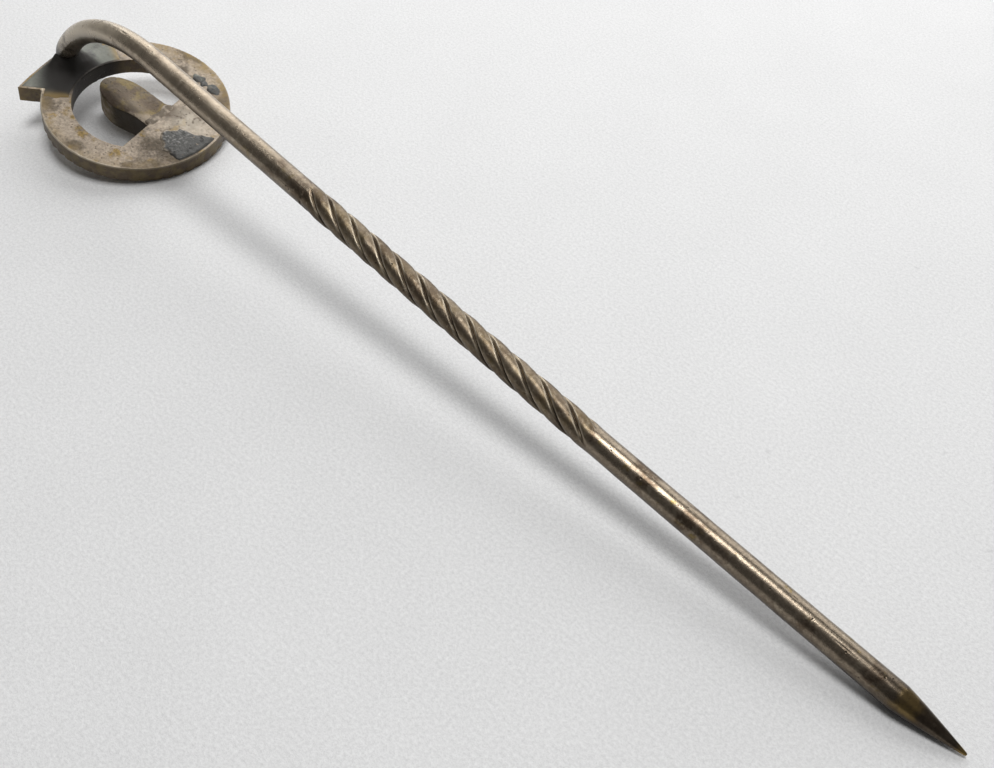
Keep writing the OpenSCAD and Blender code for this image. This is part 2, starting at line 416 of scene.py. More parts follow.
def wire_radius(w, t, turns, total, s, phi):
    """Radius of the wire at distance s and angles phi, with the masks that go with it."""
    x = s - turns.bend - w.neck_length
    fade = float(step_up(min(x, w.twist_length - x), 0.0, t.run_out))
    fall, vee, shoulder = groove_shape(t, phi - math.tau * t.turns * x / w.twist_length + math.tau)
    radius = w.radius + fade * (t.lobe_radius - fall - w.radius)
    left = total - s
    if left < w.point_length:
        part = 1 - left / w.point_length
        radius = w.tip_radius + (radius - w.tip_radius) * (1 - part ** w.point_curve)
    if left < w.tip_radius:
        ball = 1 - left / w.tip_radius
        radius = radius * math.sqrt(max(0.0, 1 - ball * ball))
    return radius, vee * fade, shoulder * fade, fade


def nick_depth(s, phi, radius):
    """Depth of the nicks at distance s and angles phi."""
    depth = np.zeros_like(phi)
    for place, turn, half_along, half_round, deep in NICKS:
        if abs(s - place) > 3 * half_along:
            continue
        arc = (np.mod(phi - math.radians(turn) + math.pi, math.tau) - math.pi) * radius
        depth += deep * np.exp(-((s - place) / half_along) ** 2 - (arc / half_round) ** 2)
    return depth


def make_wire():
    """The wire as one skin of rings, cut flat at the foot and closed at the tip."""
    w, t = sizes("pin_wire_sizes"), sizes("pin_twist_sizes")
    turns = wire_turns(w)
    stations, total = wire_stations(w, turns)
    twist_from = turns.bend + w.neck_length
    phi = np.arange(ROUND) * math.tau / ROUND
    side = np.array([0.0, -1.0, 0.0])
    places, drawn = [], []
    masks = {name: [] for name in ("groove", "crest", "nick", "reach", "twist", "under")}

    def add_ring(s, flatten=False):
        middle, a = wire_place(w, turns, s)
        radius, vee, shoulder, fade = wire_radius(w, t, turns, total, s, phi)
        depth = nick_depth(s, phi, w.radius)
        up = np.array([-math.sin(a), 0.0, math.cos(a)])
        out = np.cos(phi)[:, None] * up + np.sin(phi)[:, None] * side
        surface = middle + out * np.broadcast_to(radius, phi.shape)[:, None]
        uneven = 0.6 * rough_field(surface, 1.1, 1) + (0.4 + 1.6 * fade) * rough_field(surface, 0.35, 2)
        surface = surface + out * ((w.unevenness * uneven - depth) * min(1.0, (total - s) / 2))[:, None]
        run = max(0.0, s - turns.bend) / (total - turns.bend)
        surface[:, 1] -= w.bow * math.sin(math.pi * run)
        if flatten:
            run_in = forward(w.foot_angle)
            surface = surface - (surface[:, 2:3] / run_in[2]) * run_in
        places.append(surface)
        # The downward-facing half of the wire, which the material darkens as painted shade.
        under = step_up(-out[:, 2], -0.45, 0.45)
        values = (vee, shoulder, depth / DEEP_NICK, s / total, fade, under)
        for ring, value in zip(masks.values(), values):
            ring.append(np.broadcast_to(value, phi.shape))
        drawn_turn = phi - math.tau * t.turns * min(max(0.0, (s - twist_from) / w.twist_length), 1.0)
        drawn.append(np.stack([np.full(ROUND, s), w.radius * np.cos(drawn_turn),
                               w.radius * np.sin(drawn_turn)], 1))

    add_ring(0.0, flatten=True)
    for s in stations:
        add_ring(float(s))
    last = len(places) - 1
    faces = [tuple(reversed(range(ROUND)))]
    for i in range(last):
        for j in range(ROUND):
            k = (j + 1) % ROUND
            faces.append((i * ROUND + j, i * ROUND + k, (i + 1) * ROUND + k, (i + 1) * ROUND + j))
    faces.append(tuple(last * ROUND + j for j in range(ROUND)))
    wire = new_piece("pin_wire_silver", np.concatenate(places), faces)
    for name, rings_of_values in masks.items():
        mark(wire.data, name, np.concatenate(rings_of_values))
    mark_place(wire.data, "drawn", np.concatenate(drawn))
    return wire


# ---------------------------------------------------------------- castings

def around_middle(h, places):
    """Distances along and across the pin, from the ring's middle."""
    return places[:, 0] - h.middle_x, places[:, 1] - h.middle_y


def head_axes(h, places):
    """Distances towards the lug and across the head, from the ring's middle."""
    x, y = around_middle(h, places)
    return (-x * math.cos(h.turn) - y * math.sin(h.turn),
            x * math.sin(h.turn) - y * math.cos(h.turn))


def from_head(h, p, q):
    """Bench place of a point given towards the lug and across the head."""
    return (h.middle_x - p * math.cos(h.turn) + q * math.sin(h.turn),
            h.middle_y - p * math.sin(h.turn) - q * math.cos(h.turn))


def add_prism(bm, outline, low, high):
    """A closed prism over an outline."""
    bottom = [bm.verts.new((x, y, low)) for x, y in outline]
    top = [bm.verts.new((x, y, high)) for x, y in outline]
    count = len(outline)
    bm.faces.new(list(reversed(bottom)))
    bm.faces.new(top)
    for i in range(count):
        j = (i + 1) % count
        bm.faces.new((bottom[i], bottom[j], top[j], top[i]))


def add_annulus(bm, middle, inner, outer, low, high, steps=240):
    """A closed flat ring."""
    loops = []
    for radius in (inner, outer):
        for z in (low, high):
            loops.append([bm.verts.new((middle[0] + radius * math.cos(math.tau * i / steps),
                                        middle[1] + radius * math.sin(math.tau * i / steps), z))
                          for i in range(steps)])
    in_low, in_high, out_low, out_high = loops
    for i in range(steps):
        j = (i + 1) % steps
        bm.faces.new((out_low[i], out_low[j], out_high[j], out_high[i]))
        bm.faces.new((in_low[j], in_low[i], in_high[i], in_high[j]))
        bm.faces.new((out_high[i], out_high[j], in_high[j], in_high[i]))
        bm.faces.new((out_low[j], out_low[i], in_low[i], in_low[j]))


def carve(name, build, grain, soften):
    """Builds closed solids, joins them in one even skin and softens its edges."""
    bm = bmesh.new()
    build(bm)
    bmesh.ops.recalc_face_normals(bm, faces=bm.faces)
    rough = bpy.data.meshes.new(name + "_blank")
    bm.to_mesh(rough)
    bm.free()
    obj = bpy.data.objects.new(name, rough)
    bpy.context.scene.collection.objects.link(obj)
    joined = obj.modifiers.new("Join", "REMESH")
    joined.mode = "VOXEL"
    joined.voxel_size = grain
    joined.adaptivity = 0.0
    eased = obj.modifiers.new("Ease", "SMOOTH")
    eased.factor = 0.5
    eased.iterations = soften
    depsgraph = bpy.context.evaluated_depsgraph_get()
    mesh = bpy.data.meshes.new_from_object(obj.evaluated_get(depsgraph))
    mesh.name = name
    obj.modifiers.clear()
    obj.data = mesh
    bpy.data.meshes.remove(rough)
    return obj


def arc(middle, radius, start, end, steps):
    """Points along an arc, both ends included."""
    return [(middle[0] + radius * math.cos(start + (end - start) * i / steps),
             middle[1] + radius * math.sin(start + (end - start) * i / steps))
            for i in range(steps + 1)]


def build_ring(bm):
    """The ring, its filled side and its lug, as overlapping solids."""
    h = sizes("pin_head_sizes")
    middle = (h.middle_x, h.middle_y)
    add_annulus(bm, middle, h.hole_radius, h.ring_radius, -h.thickness, 0)
    seam_radius = h.ring_radius - h.seam
    opening = math.acos(h.chord / seam_radius)
    filled = arc(middle, seam_radius, h.turn - opening, h.turn + opening, 80)
    add_prism(bm, filled, -h.thickness, 0)
    shoulder = h.lug_corner - h.lug_flare
    inside = h.hole_radius + h.seam / 2
    crest = [(h.lug_corner + (h.lug_crest - h.lug_corner) * (1 - t * t), h.lug_half * t)
             for t in (i / 6 - 1 for i in range(13))]
    outline = [(inside, -h.lug_neck), (shoulder, -h.lug_neck), *crest, (shoulder, h.lug_neck),
               (inside, h.lug_neck)]
    add_prism(bm, [from_head(h, p, q) for p, q in outline], -h.thickness, 0)


# Slant of the edge of the wire's shadow, which is painted on the ring and the leaf.
STEM_SHADOW_ANGLE = math.radians(43)


def past_stem_shadow(x, y):
    """Distance past the edge of the wire's painted shadow, which crosses the leaf's root; positive towards
    the web, out of the shadow.
    """
    return (x - 0.27) * math.sin(STEM_SHADOW_ANGLE) - (y + 0.78) * math.cos(STEM_SHADOW_ANGLE)


def make_ring():
    """The ring plate, pitted and worn, with the masks for its stains, its painted shadow and shade, and
    its painted reflection and highlight.
    """
    h = sizes("pin_head_sizes")
    obj = carve("ring_plate_silver", build_ring, h.grain, 3)
    mesh = obj.data
    places, normals = points_of(mesh), normals_of(mesh)
    x, y = around_middle(h, places)
    from_middle = np.hypot(x, y)
    around = np.arctan2(y, x)
    p, q = head_axes(h, places)

    # The front rim is nicked into small scallops, more worn on one side.
    depth = step_up(-places[:, 2], 0.45 * h.thickness, 0.95 * h.thickness)
    rim = step_up(from_middle, h.ring_radius - h.seam, h.ring_radius) * (p < h.lug_corner - 1.4)
    notch = np.abs(np.sin(around * h.scallops / 2)) ** 0.6
    wear = 0.55 + 0.45 * np.cos(around + 0.7)
    inward = h.scallop_depth * depth * rim * (1 - notch) * (1.3 - 0.6 * wear)

    swell = 0.6 * rough_field(places, 2.2, 3) + 0.4 * rough_field(places, 0.7, 4)
    pits = np.clip(rough_field(places, 0.21, 5) - 0.42, 0, 1)
    pits = pits * np.clip(rough_field(places, 1.6, 6) + 0.35, 0, 1)
    back = step_up(normals[:, 2], 0.4, 0.9)
    moved = places + normals * (0.014 * swell - 0.11 * pits * (0.3 + 0.7 * back))[:, None]
    moved[:, 0] -= inward * np.cos(around)
    moved[:, 1] -= inward * np.sin(around)
    moved[:, 2] = np.minimum(moved[:, 2], 0.012)
    move_points(mesh, moved)

    # A bright line along the top of the outer rim: wear, brightened as a painted highlight most on the
    # near side.
    outer = np.exp(-((from_middle - h.ring_radius + 0.02) / 0.05) ** 2)
    top_edge = outer * step_up(places[:, 2], -0.13, -0.03)
    near_side = step_up(-np.sin(around + 0.45), 0.1, 0.75)
    mark(mesh, "worn_and_highlight", top_edge * (0.25 + 0.75 * near_side))
    mark(mesh, "wall", 1 - step_up(np.abs(normals[:, 2]), 0.35, 0.8))
    mark(mesh, "pit", pits * 4)
    # A pale patch just past the wire's shadow: a painted reflection.
    pale = np.exp(-((x - 2.9 - 0.25 * (y - 1.5)) / 1.15) ** 2 - ((y - 1.35) / 0.85) ** 2)
    mark(mesh, "pale", pale)
    bloom = step_up(from_middle, 4.0, 4.9) * step_up(y, 2.2, 4.0)
    lower = step_up(from_middle, 4.2, 5.0) * step_up(-y, 0.0, 2.2) * 0.55
    mark(mesh, "bloom", bloom + lower)
    amber = step_up(p, 4.9, 5.6) * (0.5 + 0.5 * rough_field(places, 0.6, 28))
    mark(mesh, "amber", amber * step_up(q, 1.0, 2.4))
    # Painted shade under the hook round the foot, over black oxide.
    mark(mesh, "shade_near_foot", 1 - step_up(np.hypot(places[:, 0] - 0.9, places[:, 1] - 0.3), 1.5, 2.7))
    # Painted shadow of the wire across the ring, and beyond the wire on the ring's far side.
    stem_shadow = step_up(-past_stem_shadow(x, y), -0.12, 0.15) * (1 - step_up(y, 1.1, 1.6)) * step_up(x, 0.0, 0.9)
    beyond = step_up(x - 0.6 * y, -1.3, 0.1) * step_up(y, 2.0, 2.8)
    mark(mesh, "stem_shadow", np.maximum(stem_shadow, 0.8 * beyond * (0.6 + 0.4 * rough_field(places, 0.5, 27))))
    return obj


# The leaf's root, from its long end towards the ring: place along the leaf and half width
# on the side of the wire's foot, then on the side that the wire passes over.
ROOT_NEAR = ((-0.3, 0.92), (-0.8, 0.83), (-1.8, 0.80))
ROOT_FAR = ((-1.8, -1.75), (-1.5, -1.7), (-1.45, -1.4), (-1.3, -1.22), (-1.0, -1.12))


def build_leaf(bm):
    """The leaf, with its rounded end and the root that runs into the filled side."""
    h, f = sizes("pin_head_sizes"), sizes("pin_leaf_sizes")
    end = [(f.swell + (f.reach - f.swell) * math.cos(t), f.half * math.sin(t))
           for t in np.linspace(-math.pi / 2, math.pi / 2, 49)]
    c, s = -math.cos(f.turn), -math.sin(f.turn)
    turned = [(h.middle_x + a * c - b * s, h.middle_y + a * s + b * c)
              for a, b in (*end, *ROOT_NEAR, *ROOT_FAR)]
    add_prism(bm, turned, -f.thickness, 0)


def make_leaf():
    """The leaf with its swollen back, and the masks for its stains, its painted shadow and its painted
    highlight.
    """
    h, f = sizes("pin_head_sizes"), sizes("pin_leaf_sizes")
    obj = carve("leaf_silver", build_leaf, h.grain * 0.8, 7)
    mesh = obj.data
    places, normals = points_of(mesh), normals_of(mesh)
    x, y = around_middle(h, places)
    a = -x * math.cos(f.turn) - y * math.sin(f.turn)
    b = x * math.sin(f.turn) - y * math.cos(f.turn)
    beyond = np.clip(a - f.swell, 0, None)
    edge = np.hypot(beyond / (f.reach - f.swell), b / f.half)
    back = step_up(places[:, 2], -0.4 * f.thickness, 0)
    swell = 0.6 * rough_field(places, 1.3, 7) + 0.4 * rough_field(places, 0.45, 8)
    pits = np.clip(rough_field(places, 0.2, 9) - 0.4, 0, 1)
    moved = places + normals * (0.014 * swell - 0.08 * pits)[:, None]
    root = step_up(a, -h.chord, -0.2)
    moved[:, 2] += back * (f.crown * (1 - edge ** 2) * root - 0.03 - 0.05 * step_up(edge, 0.6, 1.0) * root)
    move_points(mesh, moved)
    # Painted highlight on the leaf's swollen back.
    mark(mesh, "worn_and_highlight", np.exp(-np.hypot((a + 0.1) / 1.1, (b - 0.2) / 0.45) ** 2) * back)
    mark(mesh, "wall", 1 - step_up(np.abs(normals[:, 2]), 0.35, 0.8))
    mark(mesh, "pit", pits * 4)
    mark(mesh, "root", 1 - step_up(a, 0.3, 1.3))
    # The leaf's side out of the wire's painted shadow, ragged along its edge.
    mark(mesh, "wear_and_light", step_up(past_stem_shadow(x, y) + 0.12 * rough_field(places, 0.4, 10), -0.05, 0.22))
    return obj


# ---------------------------------------------------------------- solder

def lay_film(name, height, low, high, step, floor=-0.07):
    """A thin closed film whose top is at height(places), kept where it rises above the metal."""
    xs, ys = np.arange(low[0], high[0], step), np.arange(low[1], high[1], step)
    grid_x, grid_y = np.meshgrid(xs, ys, indexing="ij")
    flat = np.stack([grid_x.ravel(), grid_y.ravel(), np.zeros(grid_x.size)], 1)
    rise = height(flat).reshape(grid_x.shape)
    keep = rise > floor + 0.02
    cells = keep[:-1, :-1] & keep[1:, :-1] & keep[:-1, 1:] & keep[1:, 1:]
    number = -np.ones(grid_x.shape, int)
    used = np.zeros(grid_x.shape, bool)
    for di in (0, 1):
        for dj in (0, 1):
            used[di:used.shape[0] - 1 + di, dj:used.shape[1] - 1 + dj] |= cells
    number[used] = np.arange(used.sum())
    count = int(used.sum())
    top = np.stack([grid_x[used], grid_y[used], rise[used]], 1)
    bottom = top.copy()
    bottom[:, 2] = floor - 0.01
    faces = []
    rows, columns = cells.shape
    for i, j in zip(*np.nonzero(cells)):
        a, b, c, d = number[i, j], number[i + 1, j], number[i + 1, j + 1], number[i, j + 1]
        faces.append((a, b, c, d))
        faces.append((d + count, c + count, b + count, a + count))
        if j == 0 or not cells[i, j - 1]:
            faces.append((b, a, a + count, b + count))
        if j == columns - 1 or not cells[i, j + 1]:
            faces.append((d, c, c + count, d + count))
        if i == 0 or not cells[i - 1, j]:
            faces.append((a, d, d + count, a + count))
        if i == rows - 1 or not cells[i + 1, j]:
            faces.append((c, b, b + count, c + count))
    return new_piece(name, np.concatenate([top, bottom]), faces)


def bank(distance, rise, slope):
    """Height of a film, rising from its edge over a slope; below the metal outside the edge."""
    return rise * (1 - np.exp(-np.clip(distance, 0, None) / slope)) + np.minimum(distance, 0) * 0.6


def foot_solder_height(places):
    """The sheet over the lug and the ring beside it, and the lumpy mound round the foot."""
    h, w, o = sizes("pin_head_sizes"), sizes("pin_wire_sizes"), sizes("pin_solder_sizes")
    p, q = head_axes(h, places)
    from_middle = np.hypot(p, q)
    around = np.abs(np.arctan2(q, p))
    ragged = 0.12 * rough_field(places, 0.55, 11) + 0.05 * rough_field(places, 0.2, 12)
    round_edge = (o.flood_half - around) * from_middle + ragged
    hole_edge = from_middle - h.hole_radius - 0.13
    ring_edge = h.ring_radius - 0.12 - from_middle
    lug_side = h.lug_neck + (p - (h.lug_corner - h.lug_flare)) * 0.62 - 0.14 - np.abs(q)
    crest = h.lug_corner + (h.lug_crest - h.lug_corner) * (1 - (q / h.lug_half) ** 2)
    lug_edge = np.minimum(lug_side, crest - 0.13 - p)
    outer = np.maximum(ring_edge, np.where(p > 4.0, lug_edge, -9.0))
    inside = np.minimum(np.minimum(round_edge, hole_edge), outer)
    dull = 0.012 * rough_field(places, 0.5, 13) + 0.006 * rough_field(places, 0.16, 14)
    film = bank(inside, o.flood, 0.12) + dull
    lean = 0.25 / math.tan(w.foot_angle)
    from_foot = np.hypot(places[:, 0] - lean, places[:, 1]) - w.radius
    towards_tip = places[:, 0] / np.hypot(places[:, 0], places[:, 1]).clip(0.1)
    lump = 0.62 + 0.30 * towards_tip + 0.25 * rough_field(places, 0.4, 26)
    mound = np.exp(-(np.clip(from_foot, 0.0, None) / 0.42) ** 1.3)
    return film + o.fillet * lump * mound * step_up(inside, -0.05, 0.35)


def make_foot_solder():
    """The solder at the foot, with painted shade near the wire and golden at its tide line."""
    o, h = sizes("pin_solder_sizes"), sizes("pin_head_sizes")
    obj = lay_film("foot_solder_grey", foot_solder_height, (-2.2, -4.2), (3.4, 3.4), o.step)
    places = points_of(obj.data)
    p, q = head_axes(h, places)
    from_foot = np.hypot(places[:, 0], places[:, 1])
    towards_tip = places[:, 0] - 0.5 * places[:, 1]
    # Painted shade round the foot under the hook, over black oxide.
    mark(obj.data, "shade_near_wire", 1 - step_up(from_foot - 0.6 * towards_tip, 0.9, 1.8))
    run = np.abs(np.arctan2(q, p)) / o.flood_half
    mark(obj.data, "tide", np.exp(-((run - 0.98) / 0.10) ** 2))
    return obj


def leaf_bead_height(places):
    """A low bead along the straight edge, where the leaf begins."""
    h, f, o = sizes("pin_head_sizes"), sizes("pin_leaf_sizes"), sizes("pin_solder_sizes")
    p, q = head_axes(h, places)
    off_line = np.abs(p + h.chord + 0.16 * rough_field(places, 0.6, 15))
    end = np.clip(np.abs(q + 0.05) - f.root + 0.1, 0, None)
    distance = 0.24 - np.hypot(off_line, end * 1.4)
    return bank(distance, o.bead, 0.10) + 0.008 * rough_field(places, 0.17, 16)


def make_leaf_solder():
    """The bead at the leaf's root."""
    o, h = sizes("pin_solder_sizes"), sizes("pin_head_sizes")
    middle = from_head(h, -h.chord, 0)
    obj = lay_film("leaf_solder_grey", leaf_bead_height, (middle[0] - 1, middle[1] - 1.6),
                   (middle[0] + 1, middle[1] + 1.6), o.step * 0.75)
    places = points_of(obj.data)
    mark(obj.data, "crusted", 0.5 + 0.5 * rough_field(places, 0.3, 17))
    return obj


# Outline of the crusted patch, from the ring's middle, in millimetres.
PATCH = ((2.6, -0.4), (2.65, 0.0), (2.95, 0.35), (2.9, 0.6), (3.2, 0.8), (3.85, 1.05), (4.4, 1.6),
         (5.6, 1.8), (5.6, -0.8), (4.5, -0.95), (4.0, -1.0), (3.65, -1.15), (3.4, -0.85), (3.0, -0.75))


def inside_outline(outline, x, y):
    """Distance inside a closed outline, negative outside it."""
    nearest = np.full(x.shape, 1e9)
    inside = np.zeros(x.shape, bool)
    for (ax, ay), (bx, by) in zip(outline, outline[1:] + outline[:1]):
        dx, dy = bx - ax, by - ay
        t = np.clip(((x - ax) * dx + (y - ay) * dy) / (dx * dx + dy * dy), 0, 1)
        nearest = np.minimum(nearest, np.hypot(x - ax - t * dx, y - ay - t * dy))
        crosses = (ay > y) != (by > y)
        inside ^= crosses & (x < dx * (y - ay) / (dy if dy else 1e-9) + ax)
    return np.where(inside, nearest, -nearest)


def patch_height(places):
    """The rough crust inside the patch's outline."""
    h, o = sizes("pin_head_sizes"), sizes("pin_solder_sizes")
    x, y = around_middle(h, places)
    ragged = 0.07 * rough_field(places, 0.28, 18) + 0.03 * rough_field(places, 0.11, 19)
    edge = np.minimum(inside_outline(PATCH, x, y) + ragged, h.ring_radius - 0.14 - np.hypot(x, y))
    crust = 0.035 * rough_field(places, 0.22, 20) + 0.03 * np.abs(rough_field(places, 0.12, 21))
    return bank(edge, o.crust, 0.07) + crust * step_up(edge, 0.0, 0.12)


def make_patch():
    """The crusted patch, with pale grains and a pale rim."""
    o, h = sizes("pin_solder_sizes"), sizes("pin_head_sizes")
    obj = lay_film("solder_patch_crust", patch_height, (h.middle_x + 2.3, h.middle_y - 1.5),
                   (h.middle_x + 5.2, h.middle_y + 2.1), o.step * 0.75)
    places = points_of(obj.data)
    x, y = around_middle(h, places)
    edge = inside_outline(PATCH, x, y)
    mark(obj.data, "rim", np.exp(-((edge - 0.05) / 0.07) ** 2) * step_up(-x, -4.4, -3.6))
    mark(obj.data, "grains", step_up(rough_field(places, 0.13, 22), 0.12, 0.38) * step_up(-x, -4.6, -3.4))
    return obj


# Stray drops: place from the ring's middle and half lengths.
DROPS = ((0.42, 3.95, 0.42, 0.26), (0.90, 3.88, 0.26, 0.20), (1.56, 4.02, 0.44, 0.30))


def drops_height(places):
    """Low lumps, one for each stray drop."""
    h, o = sizes("pin_head_sizes"), sizes("pin_solder_sizes")
    x, y = around_middle(h, places)
    ragged = 0.11 * rough_field(places, 0.25, 23)
    edge = np.full(len(places), -1.0)
    for along, across, half_a, half_b in DROPS:
        inside = (1 - np.hypot((x - along) / half_a, (y - across) / half_b)) * half_b
        edge = np.maximum(edge, inside + ragged)
    return bank(edge, o.drop, 0.14) + 0.02 * rough_field(places, 0.12, 24) * step_up(edge, 0, 0.1)


def make_spots():
    """The stray drops beside the wire."""
    o, h = sizes("pin_solder_sizes"), sizes("pin_head_sizes")
    obj = lay_film("solder_spots_grey", drops_height, (h.middle_x - 0.2, h.middle_y + 3.4),
                   (h.middle_x + 2.3, h.middle_y + 4.6), o.step * 0.6)
    places = points_of(obj.data)
    mark(obj.data, "crusted", 0.5 + 0.5 * rough_field(places, 0.2, 25))
    return obj


# ---------------------------------------------------------------- shader groups

# Where the Mix node keeps its two colours and the mixed one.
COLOUR_A, COLOUR_B, COLOUR_OUT = 6, 7, 2


def group_tree(name, inputs, outputs):
    """An empty node group with named inputs (with defaults) and outputs."""
    tree = bpy.data.node_groups.new(name, "ShaderNodeTree")
    for label, kind, default in inputs:
        socket = tree.interface.new_socket(label, in_out="INPUT", socket_type=kind)
        if default is not None:
            socket.default_value = default
    for label, kind in outputs:
        tree.interface.new_socket(label, in_out="OUTPUT", socket_type=kind)
    return tree, tree.nodes.new("NodeGroupInput"), tree.nodes.new("NodeGroupOutput")


def node(tree, kind, **values):
    """A new node with its settings."""
    made = tree.nodes.new(kind)
    for name, value in values.items():
        setattr(made, name, value)
    return made


def feed(tree, source, target):
    """Links a socket, or sets a plain value, on the target socket."""
    if isinstance(source, bpy.types.NodeSocket):
        tree.links.new(source, target)
    else:
        target.default_value = source


def maths(tree, operation, *values, clamp=False):
    """One step of arithmetic on numbers that vary over the surface."""
    made = node(tree, "ShaderNodeMath", operation=operation, use_clamp=clamp)
    for value, socket in zip(values, made.inputs):
        feed(tree, value, socket)
    return made.outputs[0]


def times(tree, first, second, clamp=False):
    """Product of two numbers or sockets."""
    return maths(tree, "MULTIPLY", first, second, clamp=clamp)


def scaled(tree, value, gain, offset):
    """The value times a gain, plus an offset."""
    return maths(tree, "MULTIPLY_ADD", value, gain, offset)


def spread(tree, value, low, high):
    """Smooth rise from 0 where the value is low to 1 where it is high."""
    made = node(tree, "ShaderNodeMapRange", interpolation_type="SMOOTHSTEP")
    for v, socket in zip((value, low, high), made.inputs):
        feed(tree, v, socket)
    return made.outputs[0]


def stain(tree, tint, amount, over, kind="MIX"):
    """The tint with a second colour over it, by an amount from 0 to 1."""
    made = node(tree, "ShaderNodeMix", data_type="RGBA", blend_type=kind, clamp_factor=True)
    feed(tree, amount, made.inputs["Factor"])
    feed(tree, tint, made.inputs[COLOUR_A])
    feed(tree, over, made.inputs[COLOUR_B])
    return made.outputs[COLOUR_OUT]


def shade(tree, tint, light):
    """The tint made lighter or darker by a number."""
    grey = node(tree, "ShaderNodeCombineColor")
    for socket in grey.inputs:
        tree.links.new(light, socket)
    return stain(tree, tint, 1.0, grey.outputs[0], "MULTIPLY")


def noise_texture(tree, vector, scale, detail=4.0, roughness=0.55, stretch=None):
    """Cloudy noise from 0 to 1, with its place stretched where that is asked for."""
    if stretch is not None:
        mapping = node(tree, "ShaderNodeMapping")
        feed(tree, vector, mapping.inputs["Vector"])
        mapping.inputs["Scale"].default_value = stretch
        vector = mapping.outputs[0]
    made = node(tree, "ShaderNodeTexNoise")
    feed(tree, vector, made.inputs["Vector"])
    feed(tree, scale, made.inputs["Scale"])
    made.inputs["Detail"].default_value = detail
    made.inputs["Roughness"].default_value = roughness
    return made.outputs["Fac"]


def mask(tree, name, output="Fac"):
    """What a piece's points carry under a name: a number, or a place from the Vector output."""
    made = node(tree, "ShaderNodeAttribute", attribute_type="GEOMETRY", attribute_name=name)
    return made.outputs[output]


def mottle_group():
    """Three tarnish colours mixed in soft clouds, with fine speckle."""
    tree, given, out = group_tree("Mottle", [
        ("Place", "NodeSocketVector", None), ("Clouds per metre", "NodeSocketFloat", 600.0),
        ("First", "NodeSocketColor", None), ("Second", "NodeSocketColor", None),
        ("Third", "NodeSocketColor", None), ("Second share", "NodeSocketFloat", 0.5),
        ("Third share", "NodeSocketFloat", 0.3), ("Speckle", "NodeSocketFloat", 0.3)],
        [("Colour", "NodeSocketColor"), ("Clouds", "NodeSocketFloat")])
    place, scale = given.outputs["Place"], given.outputs["Clouds per metre"]
    clouds = noise_texture(tree, place, scale, 5.0, 0.6)
    finer = noise_texture(tree, place, times(tree, scale, 2.3), 4.0, 0.6)
    grains = noise_texture(tree, place, times(tree, scale, 11.0), 3.0, 0.7)
    second_at = maths(tree, "SUBTRACT", 0.72, times(tree, given.outputs["Second share"], 0.45))
    third_at = maths(tree, "SUBTRACT", 0.72, times(tree, given.outputs["Third share"], 0.45))
    second = spread(tree, clouds, second_at, maths(tree, "ADD", second_at, 0.14))
    third = spread(tree, finer, third_at, maths(tree, "ADD", third_at, 0.12))
    mixed = stain(tree, given.outputs["First"], second, given.outputs["Second"])
    mixed = stain(tree, mixed, third, given.outputs["Third"])
    light = scaled(tree, maths(tree, "SUBTRACT", grains, 0.5),
                  times(tree, given.outputs["Speckle"], 2.6), 1.0)
    tree.links.new(shade(tree, mixed, light), out.inputs["Colour"])
    tree.links.new(clouds, out.inputs["Clouds"])
    return tree


def scratch_group():
    """Drawing lines along the wire and a few scratches across it."""
    tree, given, out = group_tree("Scratches", [
        ("Drawn place", "NodeSocketVector", None), ("Per millimetre", "NodeSocketFloat", 2.0)],
        [("Scratch", "NodeSocketFloat"), ("Lines", "NodeSocketFloat")])
    place, scale = given.outputs["Drawn place"], given.outputs["Per millimetre"]
    lengthwise = noise_texture(tree, place, scale, 3.0, 0.6, stretch=(0.28, 4.2, 4.2))
    cross = noise_texture(tree, place, scale, 2.0, 0.5, stretch=(3.4, 0.5, 0.5))
    line = spread(tree, lengthwise, 0.58, 0.70)
    other = spread(tree, cross, 0.68, 0.74)
    tree.links.new(maths(tree, "MAXIMUM", line, times(tree, other, 0.6)), out.inputs["Scratch"])
    tree.links.new(lengthwise, out.inputs["Lines"])
    return tree


def pit_group():
    """Small round pits and grit, as a mask and as a height."""
    tree, given, out = group_tree("Pits", [
        ("Place", "NodeSocketVector", None), ("Per metre", "NodeSocketFloat", 5000.0),
        ("Share", "NodeSocketFloat", 0.3)],
        [("Pit", "NodeSocketFloat"), ("Height", "NodeSocketFloat")])
    place, scale = given.outputs["Place"], given.outputs["Per metre"]
    cells = node(tree, "ShaderNodeTexVoronoi")
    tree.links.new(place, cells.inputs["Vector"])
    tree.links.new(scale, cells.inputs["Scale"])
    cells.inputs["Randomness"].default_value = 1.0
    hole = spread(tree, cells.outputs["Distance"], 0.34, 0.10)
    where = noise_texture(tree, place, times(tree, scale, 0.37), 2.0)
    limit = maths(tree, "SUBTRACT", 0.75, times(tree, given.outputs["Share"], 0.5))
    kept = times(tree, hole, spread(tree, where, limit, maths(tree, "ADD", limit, 0.06)))
    grit = noise_texture(tree, place, times(tree, scale, 2.1), 4.0, 0.65)
    height = maths(tree, "SUBTRACT", times(tree, grit, 0.55), kept)
    tree.links.new(kept, out.inputs["Pit"])
    tree.links.new(height, out.inputs["Height"])
    return tree


SHADER_GROUPS = {"Mottle": mottle_group, "Scratches": scratch_group, "Pits": pit_group}


def use_group(tree, name, **values):
    """Places a shared group in a material, with its own values."""
    if name not in bpy.data.node_groups:
        SHADER_GROUPS[name]()
    made = node(tree, "ShaderNodeGroup", node_tree=bpy.data.node_groups[name])
    for label, value in values.items():
        feed(tree, value, made.inputs[label.replace("_", " ")])
    return made


def new_material(name, metallic=0.0):
    """A material with its shader and its own place in metres."""
    made = bpy.data.materials.new(name)
    made.use_nodes = True
    tree = made.node_tree
    shader = tree.nodes["Principled BSDF"]
    shader.inputs["Metallic"].default_value = metallic
    place = node(tree, "ShaderNodeTexCoord").outputs["Object"]
    return made, tree, shader, place


